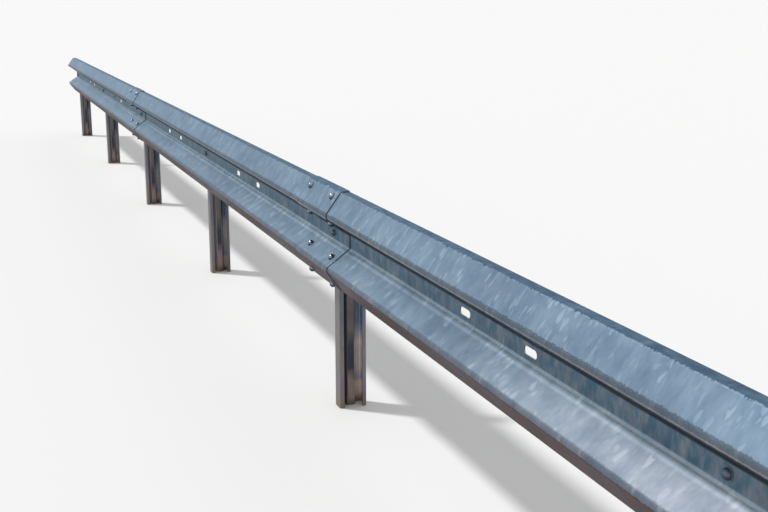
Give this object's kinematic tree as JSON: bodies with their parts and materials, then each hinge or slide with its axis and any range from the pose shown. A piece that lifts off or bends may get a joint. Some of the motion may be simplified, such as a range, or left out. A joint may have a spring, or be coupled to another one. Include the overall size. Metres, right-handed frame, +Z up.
{
  "type": "roadside guardrail section",
  "caption": "Straight roadside guardrail: galvanised W-shaped beams, lapped and bolted end to end, on driven sigma-shaped steel posts.",
  "frame": {"origin": "middle of the middle post's foot, on the web's fold, where the post meets the ground", "axes": "+X along the rail, towards the end whose beam laps over the next one; -Y towards the road; +Z up"},
  "size_m": [12.3, 0.1793, 0.7617],
  "materials": {
    "galvanised_beam": "hot-dip galvanised, weathered, with faint spangle",
    "galvanised_post": "hot-dip galvanised, dull, dusty towards the ground"
  },
  "bodies": {
    "root": {"beam_1": "galvanised_beam", "beam_2": "galvanised_beam", "beam_3": "galvanised_beam", "post_1": "galvanised_post", "post_2": "galvanised_post", "post_3": "galvanised_post", "post_4": "galvanised_post", "post_5": "galvanised_post", "post_6": "galvanised_post", "post_7": "galvanised_post"}
  },
  "joints": []
}
